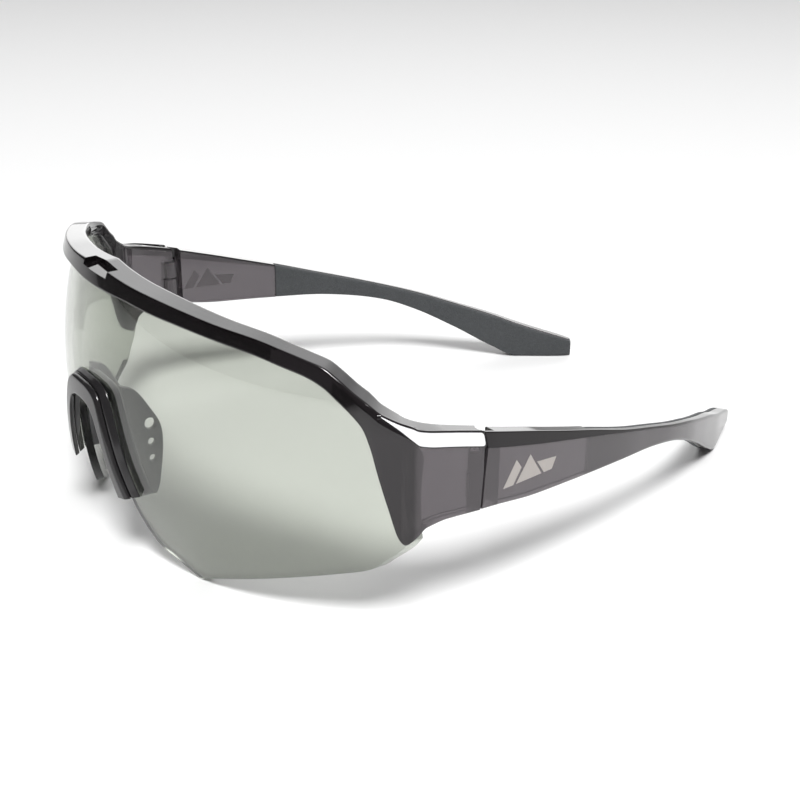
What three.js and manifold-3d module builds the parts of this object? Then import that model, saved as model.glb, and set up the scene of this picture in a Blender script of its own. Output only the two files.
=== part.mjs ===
// Wraparound half-rim sports glasses: a one-piece spherical shield lens hangs from a brow bar,
// and two folding arms with rubber grips screw to the ends of the bar.
// Work frame, millimetres: +Z up, the wearer looks along -Y, +X is the wearer's left, and the
// hinge gaps lie in the plane y = 0. The whole group is moved at the end so that the middle of
// its footprint is the origin.
import * as THREE from 'three';
import { ParametricGeometry } from 'three/addons/geometries/ParametricGeometry.js';
import { mergeVertices } from 'three/addons/utils/BufferGeometryUtils.js';
import Module from 'manifold-3d';

const wasm = await Module();
wasm.setup();

// Driving dimensions
const GAP = 0.3; // clearance between neighbouring pieces
const LENS_R = 88; // a base-6 lens has a radius of 530 / 6
const LENS_THICK = 1.8;
const LENS_CENTRE = new THREE.Vector3(0, 35.7, 30.5);
const BROW_R = LENS_R + 2.5; // front face of the brow bar
const BROW_TURN = THREE.MathUtils.degToRad(47); // where the bar leaves the lens curve
const CORNER_R = 24; // tighter bend of the endpiece
const CORNER_TURN = THREE.MathUtils.degToRad(88);
const HINGE_GAP = 0.5; // between endpiece and arm when open
const HINGE = { x: 69.6, y: -3.2, screwR: 0.9, knuckleR: 2.6, bore: 1.2 };
const KNUCKLES = { low: 25.6, lowTop: 28.0, highLow: 33.2, high: 39 };
const GRIP_FROM = 28; // y where the rubber grip starts
const GRIP_THICK = 1.4;
const NOTCH_HALF = 6; // half width of the recess in the brow
const BEZEL_OUT = 2.7; // how far the nose bezel stands out of the lens
const CARRIER_TRIM = 1.2; // how much narrower the nose carrier is than the bezel
const FRONT_REACH = 70; // cutting shapes run this far forward, past the lens
const TOP_REACH = 70; // and this high, past the brow
const SIDE_REACH = 90; // and this wide, past the arms
const ROUND_SIDES = 24; // flats round a screw or a knuckle
const BALL_SIDES = 144; // flats round the lens's ball
const HALF_LENGTH_OFFSET = 27.555; // y of the middle of the footprint in the work frame

const COLOURS = {
  smoke: { color: 0x6c6569, roughness: 0.12, metalness: 0 },
  lens: { color: 0xc3c8be, roughness: 0.03, metalness: 0 },
  bezel: { color: 0x3a3839, roughness: 0.2, metalness: 0 },
  pad: { color: 0x57575a, roughness: 0.35, metalness: 0 },
  rubber: { color: 0x4e5052, roughness: 0.85, metalness: 0 },
  trim: { color: 0xebebeb, roughness: 0.15, metalness: 0.9 },
  steel: { color: 0xb5b8ba, roughness: 0.3, metalness: 1 },
};

// --- Solids and booleans ---------------------------------------------------------------------

function solid(geometry) {
  const plain = geometry.clone();
  plain.deleteAttribute('normal');
  plain.deleteAttribute('uv');
  const merged = mergeVertices(plain, 1e-4);
  const index = merged.index.array;
  const triangles = [];
  for (let i = 0; i < index.length; i += 3) {
    const [a, b, c] = [index[i], index[i + 1], index[i + 2]];
    if (a !== b && b !== c && c !== a) triangles.push(a, b, c);
  }
  return new wasm.Manifold(new wasm.Mesh({
    numProp: 3,
    vertProperties: merged.attributes.position.array,
    triVerts: new Uint32Array(triangles),
  }));
}

function geometryOf(body) {
  const mesh = body.getMesh();
  const geometry = new THREE.BufferGeometry();
  geometry.setAttribute('position', new THREE.BufferAttribute(mesh.vertProperties, 3));
  geometry.setIndex(new THREE.BufferAttribute(mesh.triVerts, 1));
  geometry.computeVertexNormals();
  return geometry;
}

// The same piece for the wearer's right, with its triangles turned so that they still face out.
function mirrored(geometry) {
  const copy = geometry.clone();
  copy.scale(-1, 1, 1);
  const index = copy.index.array;
  for (let i = 0; i < index.length; i += 3) [index[i], index[i + 1]] = [index[i + 1], index[i]];
  copy.computeVertexNormals();
  return copy;
}

// A closed body through a row of section rings, closed at both ends by a flat fan.
function loft(rings) {
  const middle = ring => ring.map(() => ring.reduce((sum, p) => sum.add(p), new THREE.Vector3())
    .divideScalar(ring.length));
  const rows = [middle(rings[0]), ...rings, middle(rings.at(-1))];
  const around = rings[0].length;
  const point = (u, v, target) => target.copy(
    rows[Math.round((1 - v) * (rows.length - 1))][Math.round(u * around) % around]);
  return solid(new ParametricGeometry(point, around, rows.length - 1));
}

// Straight prism of an outline drawn in x and z, running from y0 to y1.
function frontPrism(shape, y0, y1) {
  const geometry = new THREE.ExtrudeGeometry(shape, { depth: y1 - y0, bevelEnabled: false });
  geometry.rotateX(Math.PI / 2);
  geometry.translate(0, y1, 0);
  return solid(geometry);
}

function box(x0, x1, y0, y1, z0, z1) {
  const geometry = new THREE.BoxGeometry(x1 - x0, y1 - y0, z1 - z0);
  geometry.translate((x0 + x1) / 2, (y0 + y1) / 2, (z0 + z1) / 2);
  return solid(geometry);
}

function upright(radius, z0, z1, x, y) {
  const geometry = new THREE.CylinderGeometry(radius, radius, z1 - z0, ROUND_SIDES);
  geometry.rotateX(Math.PI / 2);
  geometry.translate(x, y, (z0 + z1) / 2);
  return solid(geometry);
}

// Full ball about the lens's centre of curvature, and the shell between two of them.
function ball(radius) {
  const geometry = new THREE.SphereGeometry(radius, BALL_SIDES, BALL_SIDES / 2);
  geometry.rotateX(Math.PI / 2);
  geometry.translate(LENS_CENTRE.x, LENS_CENTRE.y, LENS_CENTRE.z);
  return solid(geometry);
}

const shell = (inner, outer) => ball(outer).subtract(ball(inner));

// --- Plan line of the front ------------------------------------------------------------------

// Runs from the middle of the brow, along the lens curve, round the corner and back to the hinge.
// s is the distance along it, n points outward. Negative s is the wearer's right.
const ARC_END = BROW_R * BROW_TURN;
const CORNER_END = ARC_END + CORNER_R * (CORNER_TURN - BROW_TURN);

function planAt(s) {
  const distance = Math.abs(s);
  const side = s < 0 ? -1 : 1;
  const straight = Math.max(distance - CORNER_END, 0);
  const turn = distance < ARC_END ? distance / BROW_R
    : BROW_TURN + (Math.min(distance, CORNER_END) - ARC_END) / CORNER_R;
  const radius = distance < ARC_END ? BROW_R : CORNER_R;
  const shift = distance < ARC_END ? 0 : BROW_R - CORNER_R;
  const x = shift * Math.sin(BROW_TURN) + radius * Math.sin(turn) + straight * Math.cos(turn);
  const y = LENS_CENTRE.y - shift * Math.cos(BROW_TURN) - radius * Math.cos(turn)
    + straight * Math.sin(turn);
  return { x: side * x, y, n: [side * Math.sin(turn), -Math.cos(turn)] };
}

// Point of the front: s along the plan line, n out of it, z up. The front leans back with the
// lens, and the lean fades out round the corner.
function frontPoint(s, n, z) {
  const plan = planAt(s);
  const fade = THREE.MathUtils.clamp((CORNER_END - Math.abs(s)) / (CORNER_END - ARC_END), 0, 1);
  const lean = BROW_R - Math.sqrt(BROW_R ** 2 - (z - LENS_CENTRE.z) ** 2);
  const out = n - fade * lean;
  return new THREE.Vector3(plan.x + out * plan.n[0], plan.y + out * plan.n[1], z);
}

// Straight-line interpolation in a table of rows [key, value, value...].
function tableAt(table, key) {
  const next = Math.max(1, table.findIndex(row => row[0] >= key));
  const [a, b] = [table[next - 1], table[next]];
  const part = THREE.MathUtils.clamp((key - a[0]) / (b[0] - a[0]), 0, 1);
  return a.slice(1).map((value, i) => value + part * (b[i + 1] - value));
}

// --- Front frame -----------------------------------------------------------------------------

// Half of the bar: distance, lower edge, ridge, depth, width of the sloped facet along the ridge.
const BAR = [
  [0, 58.6, 62.9, 5.4, 0.3], [14, 58.7, 61.9, 5.2, 0.3], [25, 58.1, 61.2, 5, 0.3],
  [33, 57.6, 60.5, 4.8, 0.3], [42, 56.7, 59.5, 4.6, 0.3], [51, 55.6, 58.5, 4.4, 0.3],
  [58, 54.1, 57.1, 4.4, 0.3], [62.5, 53, 56, 4.5, 0.4], [66, 51.5, 55, 4.6, 0.5],
  [69, 49.3, 53.2, 4.8, 0.7], [72, 46.8, 51, 5.1, 0.9], [74, 44.6, 49.7, 5.3, 1.1],
  [75.6, 41, 48.7, 5.4, 1.2], [77.1, 35.6, 47.7, 5.5, 1.4], [79, 29, 46.8, 5.6, 1.6],
  [81.2, 22.2, 45.8, 5.6, 1.8], [82.4, 21, 45.2, 5.5, 1.9], [84.4, 22.3, 44.5, 5.4, 2.1],
  [86.5, 24.4, 44, 5.2, 2.4], [91, 25.4, 43.1, 4.9, 2.5], [96, 25.3, 41.9, 4.7, 2.5],
  [103, 25.1, 40.1, 4.6, 2.5],
];

function barRing(s) {
  const [low, ridge, depth, facet] = tableAt(BAR, Math.abs(s));
  const inset = 0.35 * facet;
  return [
    frontPoint(s, -0.5, low), frontPoint(s, 0, low + 0.5), frontPoint(s, 0, ridge - facet),
    frontPoint(s, -inset, ridge), frontPoint(s, 0.6 - depth, ridge + 0.3),
    frontPoint(s, -depth, ridge - 0.3), frontPoint(s, -depth, low + 0.4),
    frontPoint(s, 0.5 - depth, low),
  ];
}

function bar() {
  const half = BAR.map(row => row[0]);
  const finer = half.slice(1).flatMap((s, i) => (s - half[i] > 6
    ? [half[i] + (s - half[i]) / 3, half[i] + 2 * (s - half[i]) / 3, s] : [s]));
  const stations = [...finer.map(s => -s).reverse(), 0, ...finer];
  return loft(stations.map(barRing));
}

// Upper edge of the lens, from the middle outwards, hidden in the groove of the bar.
const LENS_EDGE = [[0, 59.8], [20, 59.5], [38, 58.1], [48, 56.2], [53.6, 54.3], [56.2, 53.2],
  [58.5, 51.4], [61, 49.1], [64.7, 45.6], [67.2, 42.9], [69, 39.6]];
const LENS_SIDE = 69.4;

// The groove follows the lens edge with a little room above it and beside it.
function grooveShape() {
  const half = LENS_EDGE.map(([x, z]) => [x > 0 ? x + GAP : 0, z + GAP]);
  return symmetricShape([...half, [LENS_SIDE + GAP, 38], [LENS_SIDE + GAP, 10]]);
}

// Room for the arm's tongue between the knuckles, open to the rear and to the inside.
function hingeSlot(side) {
  const inner = side * (HINGE.x - 5);
  const outer = side * (HINGE.x + HINGE.knuckleR);
  return upright(HINGE.knuckleR, KNUCKLES.lowTop, KNUCKLES.highLow, side * HINGE.x, HINGE.y)
    .add(box(Math.min(inner, outer), Math.max(inner, outer), HINGE.y, 8,
      KNUCKLES.lowTop, KNUCKLES.highLow));
}

// Recess in the top of the brow: a sloping floor and a wall at the back.
function browNotch() {
  const shape = new THREE.Shape([[-54, 60.6], [-46.4, 61.5], [-46.1, 70], [-54, 70]].map(
    ([y, z]) => new THREE.Vector2(y, z)));
  const geometry = new THREE.ExtrudeGeometry(shape, { depth: 2 * NOTCH_HALF, bevelEnabled: false });
  geometry.rotateX(Math.PI / 2);
  geometry.rotateZ(Math.PI / 2);
  geometry.translate(-NOTCH_HALF, 0, 0);
  return solid(geometry);
}

function frontFrame() {
  const groove = shell(LENS_R - LENS_THICK - GAP, LENS_R + GAP)
    .intersect(frontPrism(grooveShape(), -FRONT_REACH, 0));
  const behind = box(-SIDE_REACH, SIDE_REACH, -HINGE_GAP / 2, 20, 0, TOP_REACH);
  let frame = bar().subtract(behind).subtract(groove).subtract(browNotch());
  for (const side of [1, -1]) {
    const x = side * HINGE.x;
    frame = frame
      .add(upright(HINGE.knuckleR, KNUCKLES.low, KNUCKLES.high, x, HINGE.y))
      .subtract(hingeSlot(side))
      .subtract(upright(HINGE.bore, 0, SLEEVE.high + 0.6, x, HINGE.y))
      .subtract(upright(HEAD.r + GAP, 0, SCREW_LOW + HEAD.height + GAP, x, HINGE.y))
      .subtract(upright(SLEEVE.outer + GAP, SLEEVE.low - GAP, SLEEVE.high + GAP, x, HINGE.y))
      .subtract(trimBand(side, GAP));
  }
  return geometryOf(frame);
}

// --- Bright trim let into the ridge facet of each endpiece ------------------------------------

const TRIM = [
  [77.8, 46.9, 0.2], [80.9, 45.3, 0.8], [84.2, 43.1, 2.2], [91, 41.9, 2.4], [99.3, 39.8, 2.4],
];

function trimBand(side, grow = 0) {
  const rings = TRIM.map(([s, middle, height]) => {
    const [z0, z1] = [middle - height / 2 - grow, middle + height / 2 + grow];
    const [, ridge, , facet] = tableAt(BAR, s);
    const slope = z => -0.35 * facet * THREE.MathUtils.clamp((z - ridge + facet) / facet, 0, 1);
    const skin = grow > 0 ? 1 : 0.15;
    return [frontPoint(side * s, slope(z0) - 0.8 - grow, z0), frontPoint(side * s, slope(z0) + skin, z0),
      frontPoint(side * s, slope(z1) + skin, z1), frontPoint(side * s, slope(z1) - 0.8 - grow, z1)];
  });
  return side > 0 ? loft(rings) : loft(rings.map(ring => ring.slice().reverse()));
}

// --- Lens ------------------------------------------------------------------------------------

// Mirrors half an outline, given from the top middle to the bottom middle, into a closed shape.
function symmetricShape(half) {
  const shape = new THREE.Shape(half.map(([x, z]) => new THREE.Vector2(x, z)));
  half.slice().reverse().filter(([x]) => x > 0).forEach(([x, z]) => shape.lineTo(-x, z));
  return shape;
}

const splined = (points, count) => new THREE.SplineCurve(
  points.map(([x, z]) => new THREE.Vector2(x, z))).getPoints(count).map(p => [p.x, p.y]);

function lensOutline() {
  return [
    ...LENS_EDGE, [LENS_SIDE, 37.6], [LENS_SIDE, 21],
    ...splined([[68.2, 18.8], [65.8, 16], [63.4, 13.6], [58, 11.5], [45, 6.7], [30, 1]], 18),
    ...splined([[28.6, 0.2], [27.4, 0.1], [26, 1], [22.3, 3.1], [18, 4.9], [15.6, 7.9], [13.6, 11.4],
      [12.6, 14.1], [12, 17.5], [11.7, 21], [10.9, 25], [9.9, 29.3], [8.4, 33.6], [5.6, 36.2],
      [0, 37.2]], 36),
  ];
}

const lens = () => geometryOf(shell(LENS_R - LENS_THICK, LENS_R)
  .intersect(frontPrism(symmetricShape(lensOutline()), -FRONT_REACH, 0)));

// --- Nose piece: two-layer bezel in front of the lens, carrier behind it, two wings -----------

// Half outlines of the arch, x and z from the foot to the middle: against the lens, and at its face,
// which is narrower because the sides slope in.
const NOSE_BACK = {
  outer: [[16.9, 16.6], [15.9, 18.9], [13.8, 24.3], [12.1, 29.4],
    [10.2, 34.2], [7.8, 37.8], [4.2, 39.1], [0, 39.3]],
  inner: [[13.9, 15.9], [12.7, 19.1], [11, 23.6], [9.6, 26.6],
    [8.2, 30.2], [6.5, 33.4], [3.6, 34.8], [0, 35.1]],
};
const NOSE_FACE = {
  outer: [[15.2, 16], [14.2, 18.4], [12.1, 23.6], [10.5, 28.2],
    [8.9, 32.6], [7.1, 36.4], [3.9, 37.9], [0, 38.2]],
  inner: [[11.9, 15.2], [11, 18.3], [9.7, 22.4], [8.7, 25.8],
    [7.3, 29.6], [5.5, 32.6], [3, 34], [0, 34.3]],
};
const ARCH_STEPS = 20;

// Outline of one side of the arch, part of the way from the lens to the face.
function archOutline(edge, share) {
  const back = splined(NOSE_BACK[edge], ARCH_STEPS);
  const face = splined(NOSE_FACE[edge], ARCH_STEPS);
  const half = back.map((point, i) => new THREE.Vector2(...point)
    .lerp(new THREE.Vector2(...face[i]), share));
  return [...half, ...half.slice(0, -1).reverse().map(p => new THREE.Vector2(-p.x, p.y))];
}

// Layer of the arch between two balls about the lens's centre. Its outer edge is trimmed by trim.
function noseArch(layers, trim = 0) {
  const edges = layers.map(([radius, share]) => ({
    radius, inner: archOutline('inner', share), outer: archOutline('outer', share),
  }));
  const onBall = (p, radius) => new THREE.Vector3(p.x,
    LENS_CENTRE.y - Math.sqrt(radius ** 2 - p.x ** 2 - (p.y - LENS_CENTRE.z) ** 2), p.y);
  const rings = edges[0].inner.map((_, i) => {
    const [low, high] = edges.map(({ radius, inner, outer }) => {
      const inward = inner[i].clone().sub(outer[i]).setLength(trim);
      return [onBall(inner[i], radius), onBall(outer[i].clone().add(inward), radius)];
    });
    return [low[0], low[1], high[1], high[0]];
  });
  return geometryOf(loft(rings));
}

// Wing seen from the side: y and z of its outline, with three round holes near its rear edge.
const WING = [[-46.9, 38.4], [-45.2, 37], [-42.6, 32.6], [-41.2, 29.2], [-41.4, 25], [-42.9, 19.2],
  [-43.8, 16.6], [-44.8, 15.6], [-45.1, 17], [-45.9, 22], [-46.4, 26], [-46.7, 32]];
const WING_HOLES = [[-43.4, 29.9, 1.15], [-43.7, 26.2, 0.75], [-44, 22.9, 0.7]];
const WING_THICK = 1.5;
const WING_SPLAY = 0.27; // sideways per millimetre of height
const WING_FOOT = 17.8; // x that the wing's plane would have at the ground

function noseWing() {
  const shape = new THREE.Shape();
  shape.moveTo(...WING[0]);
  shape.splineThru([...WING.slice(1), WING[0]].map(([y, z]) => new THREE.Vector2(y, z)));
  for (const [y, z, r] of WING_HOLES) {
    const hole = new THREE.Path();
    hole.absarc(y, z, r, 0, 2 * Math.PI);
    shape.holes.push(hole);
  }
  const geometry = new THREE.ExtrudeGeometry(shape, {
    depth: WING_THICK, bevelEnabled: false, curveSegments: 5,
  });
  geometry.rotateX(Math.PI / 2);
  geometry.rotateZ(Math.PI / 2);
  geometry.applyMatrix4(new THREE.Matrix4().set(
    1, 0, -WING_SPLAY, WING_FOOT, 0, 1, 0, 0, 0, 0, 1, 0, 0, 0, 0, 1));
  return geometryOf(solid(geometry));
}

// --- Arms ------------------------------------------------------------------------------------

// Distance behind the hinge gap: outer side, lower edge, upper ridge, thickness.
const ARM = [
  [-1, 72.9, 25.3, 40.7, 4.4], [10, 71.6, 24, 37.7, 4.1], [20, 70.1, 23.4, 34.8, 3.8],
  [28, 68.7, 22.9, 32.5, 3.6], [40, 66.3, 22.1, 28.8, 3.4], [50, 63.5, 20.8, 25.9, 3.3],
  [60, 60.4, 18.6, 22.9, 3.3], [70, 56.3, 14.6, 19.8, 3.5], [80, 51, 9.1, 16.2, 3.8],
  [90, 45.2, 2.9, 12.5, 4.2], [96, 41.6, 0, 9.9, 4.4], [103, 37, 0, 7.2, 4.4], [108, 33.7, 0, 5.3, 4.2],
  [110, 32.4, 0, 4.4, 3.6],
];
const TOE = 110;
const armLine = new THREE.CubicInterpolant(ARM.map(row => row[0]),
  ARM.flatMap(row => row.slice(1)), 4);

function armAt(y) {
  const [x, low, ridge, thick] = armLine.evaluate(y);
  const ahead = armLine.evaluate(Math.min(y + 0.5, TOE))[0];
  const behind = armLine.evaluate(Math.max(y - 0.5, ARM[0][0]))[0];
  const tangent = new THREE.Vector2(ahead - behind,
    Math.min(y + 0.5, TOE) - Math.max(y - 0.5, ARM[0][0])).normalize();
  const point = (n, z) => new THREE.Vector3(x + n * tangent.y, y - n * tangent.x, z);
  return { low: Math.max(low, 0), ridge, thick, point };
}

function stationsBetween(from, to) {
  const stations = [from];
  for (let y = Math.ceil((from + 1) / 4) * 4; y < to - 1; y += 4) stations.push(y);
  return [...stations, to];
}

// Section of the arm, whose inner side is cut back where the grip covers it.
function armRing(y, cutBack) {
  const { low, ridge, thick, point } = armAt(y);
  const facet = Math.max(0.6, Math.min(2.6, 0.17 * (ridge - low), 2.9 - 0.05 * y));
  const inner = cutBack - thick;
  return [
    point(-0.5, low), point(0, low + 0.5), point(0, ridge - facet), point(-0.35 * facet - 0.2, ridge),
    point(inner + 0.4, ridge), point(inner, ridge - 0.4), point(inner, low + 0.4),
    point(inner + 0.4, low),
  ];
}

function arm() {
  const rings = [
    ...stationsBetween(ARM[0][0], GRIP_FROM - GAP).map(y => armRing(y, 0)),
    ...stationsBetween(GRIP_FROM - GAP, TOE).map(y => armRing(y, GRIP_THICK + GAP)),
  ];
  const [low, high] = [KNUCKLES.lowTop + GAP, KNUCKLES.highLow - GAP];
  return geometryOf(loft(rings)
    .subtract(box(50, SIDE_REACH, -20, HINGE_GAP / 2, 0, TOP_REACH))
    .add(upright(HINGE.knuckleR - GAP, low, high, HINGE.x, HINGE.y))
    .add(box(HINGE.x - 2, HINGE.x + 2, HINGE.y, 1, low, high))
    .subtract(upright(HINGE.bore, 0, TOP_REACH, HINGE.x, HINGE.y)));
}

function gripRing(y) {
  const { low, ridge, thick, point } = armAt(y);
  return [
    point(GRIP_THICK - thick, low), point(GRIP_THICK - thick, ridge), point(0.4 - thick, ridge),
    point(-thick, ridge - 0.4), point(-thick, low + 0.4), point(0.4 - thick, low),
  ];
}

const grip = () => geometryOf(loft(stationsBetween(GRIP_FROM, TOE).map(gripRing)));

// --- Hinge hardware --------------------------------------------------------------------------

const SCREW_LOW = 26;
const HEAD = { r: 1.7, height: 1.2 };
const SLEEVE = { inner: 1.2, outer: 1.8, low: 34.4, high: 37.6 };

function hingeScrew() {
  const shaft = upright(HINGE.screwR, SCREW_LOW, SLEEVE.high, HINGE.x, HINGE.y);
  const head = upright(HEAD.r, SCREW_LOW, SCREW_LOW + HEAD.height, HINGE.x, HINGE.y);
  const slot = box(HINGE.x - 2, HINGE.x + 2, HINGE.y - 0.25, HINGE.y + 0.25, 0, SCREW_LOW + 0.5);
  return geometryOf(shaft.add(head).subtract(slot));
}

const hingeSleeve = () => geometryOf(
  upright(SLEEVE.outer, SLEEVE.low, SLEEVE.high, HINGE.x, HINGE.y)
    .subtract(upright(SLEEVE.inner, 0, TOP_REACH, HINGE.x, HINGE.y)));

// --- Assembly --------------------------------------------------------------------------------

const glasses = new THREE.Group();
glasses.position.y = -HALF_LENGTH_OFFSET;

function add(name, geometry, look) {
  const mesh = new THREE.Mesh(geometry, new THREE.MeshStandardMaterial(COLOURS[look]));
  mesh.name = name;
  glasses.add(mesh);
}

function addPair(name, geometry, look) {
  add(`${name}_left`, geometry, look);
  add(`${name}_right`, mirrored(geometry), look);
}

add('frame_front', frontFrame(), 'smoke');
add('lens_shield', lens(), 'lens');
const [lensBack, seam] = [LENS_R - LENS_THICK, LENS_R + 0.6 * BEZEL_OUT];
add('nose_bezel', noseArch([[seam, 0.6], [LENS_R + BEZEL_OUT, 1]]), 'bezel');
add('nose_bezel_base', noseArch([[LENS_R + GAP, 0], [seam - GAP, 0.5]]), 'bezel');
add('nose_carrier', noseArch([[lensBack - 2.5, 0], [lensBack - GAP, 0]], CARRIER_TRIM), 'pad');
addPair('nose_wing', noseWing(), 'pad');
addPair('trim', geometryOf(trimBand(1)), 'trim');
addPair('arm', arm(), 'smoke');
addPair('grip', grip(), 'rubber');
addPair('hinge_screw', hingeScrew(), 'steel');
addPair('hinge_sleeve', hingeSleeve(), 'steel');

export default glasses;
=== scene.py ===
import math

import bmesh
import bpy
import numpy as np
from mathutils import Matrix, Vector


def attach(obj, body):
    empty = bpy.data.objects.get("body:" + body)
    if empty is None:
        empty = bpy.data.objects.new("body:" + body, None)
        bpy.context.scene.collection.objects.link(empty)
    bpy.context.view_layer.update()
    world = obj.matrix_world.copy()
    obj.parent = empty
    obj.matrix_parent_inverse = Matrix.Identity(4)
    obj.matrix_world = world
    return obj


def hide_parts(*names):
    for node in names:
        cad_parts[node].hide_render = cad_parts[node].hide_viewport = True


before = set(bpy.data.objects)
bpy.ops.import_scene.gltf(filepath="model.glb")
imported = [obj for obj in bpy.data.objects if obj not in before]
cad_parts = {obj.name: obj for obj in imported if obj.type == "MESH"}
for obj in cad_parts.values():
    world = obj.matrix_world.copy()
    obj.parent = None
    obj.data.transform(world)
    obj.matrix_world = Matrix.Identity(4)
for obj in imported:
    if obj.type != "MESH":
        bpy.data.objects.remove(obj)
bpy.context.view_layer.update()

# --- Where the glasses stand ------------------------------------------------------------------
# The glasses stand open on a wide sheet of pale paper, lit by a soft key light from one side and a
# wide box overhead. The room is pale behind them, dim above and ahead, and has one bright panel.

AZIMUTH, ELEVATION, ROLL = (math.radians(angle) for angle in (56.153, 23.317, 0.457))
CAMERA_DISTANCE = 0.31437
AIM_OFFSET = (0.022163, 0.019229)  # how far the view's middle lies right of and above the origin
FOOTPRINT_SHIFT = 0.027555  # the hinge gaps lie this far ahead of the middle of the footprint
FOCAL_LENGTH, SENSOR_WIDTH = 58.192, 36
FLOOR_SIZE, FLOOR_DROP = 6, 0.0002

scene = bpy.context.scene
scene.view_settings.view_transform = "Standard"

back = Vector((math.sin(AZIMUTH) * math.cos(ELEVATION), -math.cos(AZIMUTH) * math.cos(ELEVATION),
               math.sin(ELEVATION)))
level = Vector((0, 0, 1)).cross(back).normalized()
upright = back.cross(level)
right = level * math.cos(ROLL) + upright * math.sin(ROLL)
up = upright * math.cos(ROLL) - level * math.sin(ROLL)

camera_data = bpy.data.cameras.new("camera")
camera_data.lens = FOCAL_LENGTH
camera_data.sensor_width = SENSOR_WIDTH
camera_data.clip_start = 0.01
camera = bpy.data.objects.new("camera", camera_data)
place = right * AIM_OFFSET[0] + up * AIM_OFFSET[1] + back * CAMERA_DISTANCE
place.y -= FOOTPRINT_SHIFT
camera.matrix_world = Matrix.Translation(place) @ Matrix((right, up, back)).transposed().to_4x4()
scene.collection.objects.link(camera)
scene.camera = camera

bpy.ops.mesh.primitive_plane_add(size=FLOOR_SIZE, location=(0, 0, -FLOOR_DROP))
floor = bpy.context.object
floor.name = "floor"
floor_paint = bpy.data.materials.new("floor_paper")
floor_paint.use_nodes = True
paper = floor_paint.node_tree.nodes["Principled BSDF"]
paper.inputs["Base Color"].default_value = (0.9, 0.9, 0.9, 1)
paper.inputs["Roughness"].default_value = 0.9
paper.inputs["Specular IOR Level"].default_value = 0.1
floor.data.materials.append(floor_paint)

# Each shade of the room is (direction, start, end, shade before start, shade past end), where
# start and end are cosines of the angle from the direction.
UPWARD_SHADE = ((0, 0, 1), 0.1, 0.35, 0.85, 0.12)
REARWARD_SHADE = ((0, 1, 0), 0, 0.3, 0.12, 1)
PANEL_SHADE = ((-0.74, 0.5, 0.45), 0.78, 0.96, 0.0, 2.4)
world = bpy.data.worlds.new("studio")
world.use_nodes = True
room = world.node_tree
room.nodes.clear()
direction = room.nodes.new("ShaderNodeTexCoord")


def room_shade(toward, start, end, dark, light):
    """Shade of the room that changes with the angle from a direction."""
    angle = room.nodes.new("ShaderNodeVectorMath")
    angle.operation = "DOT_PRODUCT"
    angle.inputs[1].default_value = toward
    ramp = room.nodes.new("ShaderNodeValToRGB")
    ramp.color_ramp.elements[0].position = start
    ramp.color_ramp.elements[0].color = (dark, dark, dark, 1)
    ramp.color_ramp.elements[1].position = end
    ramp.color_ramp.elements[1].color = (light, light, light, 1)
    room.links.new(direction.outputs["Generated"], angle.inputs[0])
    room.links.new(angle.outputs["Value"], ramp.inputs["Fac"])
    return ramp.outputs["Color"]


def combine(way, first, second):
    joined = room.nodes.new("ShaderNodeMix")
    joined.data_type = "RGBA"
    joined.blend_type = way
    joined.inputs[0].default_value = 1
    room.links.new(first, joined.inputs[6])
    room.links.new(second, joined.inputs[7])
    return joined.outputs[2]


walls = combine("MULTIPLY", room_shade(*UPWARD_SHADE), room_shade(*REARWARD_SHADE))
whole_room = combine("ADD", walls, room_shade(*PANEL_SHADE))
sky = room.nodes.new("ShaderNodeBackground")
room_out = room.nodes.new("ShaderNodeOutputWorld")
room.links.new(whole_room, sky.inputs["Color"])
room.links.new(sky.outputs["Background"], room_out.inputs["Surface"])
scene.world = world


def soft_box(name, position, width, watts):
    """Square lamp aimed at the glasses."""
    lamp_data = bpy.data.lights.new(name, "AREA")
    lamp_data.shape = "SQUARE"
    lamp_data.size = width
    lamp_data.energy = watts
    lamp = bpy.data.objects.new(name, lamp_data)
    turn = (-Vector(position)).to_track_quat("-Z", "Y")
    lamp.matrix_world = Matrix.Translation(position) @ turn.to_matrix().to_4x4()
    scene.collection.objects.link(lamp)


soft_box("key", position=(1.1, -0.6, 1.8), width=0.6, watts=50)
soft_box("overhead", position=(0.6, 0.1, 2.0), width=1.4, watts=7)


# --- Front frame ------------------------------------------------------------------------------
# Brow bar and both endpieces, one piece of clear smoke-grey plastic, injection moulded and
# polished. The bar follows the lens, turns back at the temples, and holds the lens in a groove.

MM = 0.001
LENS_R = 0.088
LENS_THICK = 0.0018
LENS_CENTRE = Vector((0, 0.0357 - FOOTPRINT_SHIFT, 0.0305))
BROW_R = LENS_R + 0.0025
BROW_TURN = math.radians(47)
CORNER_R = 0.024
CORNER_TURN = math.radians(88)
ARC_END = BROW_R * BROW_TURN
CORNER_END = ARC_END + CORNER_R * (CORNER_TURN - BROW_TURN)
HINGE_Y = -0.0032 - FOOTPRINT_SHIFT
HINGE_X = 0.0696


def plan_at(s):
    """Point of the bar's outer line, s along it from the middle of the brow, and its normal."""
    distance, side = abs(s), (-1 if s < 0 else 1)
    straight = max(distance - CORNER_END, 0)
    if distance < ARC_END:
        turn, radius, shift = distance / BROW_R, BROW_R, 0
    else:
        turn = BROW_TURN + (min(distance, CORNER_END) - ARC_END) / CORNER_R
        radius, shift = CORNER_R, BROW_R - CORNER_R
    x = shift * math.sin(BROW_TURN) + radius * math.sin(turn) + straight * math.cos(turn)
    y = LENS_CENTRE.y - shift * math.cos(BROW_TURN) - radius * math.cos(turn) + straight * math.sin(turn)
    return side * x, y, side * math.sin(turn), -math.cos(turn)


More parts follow.
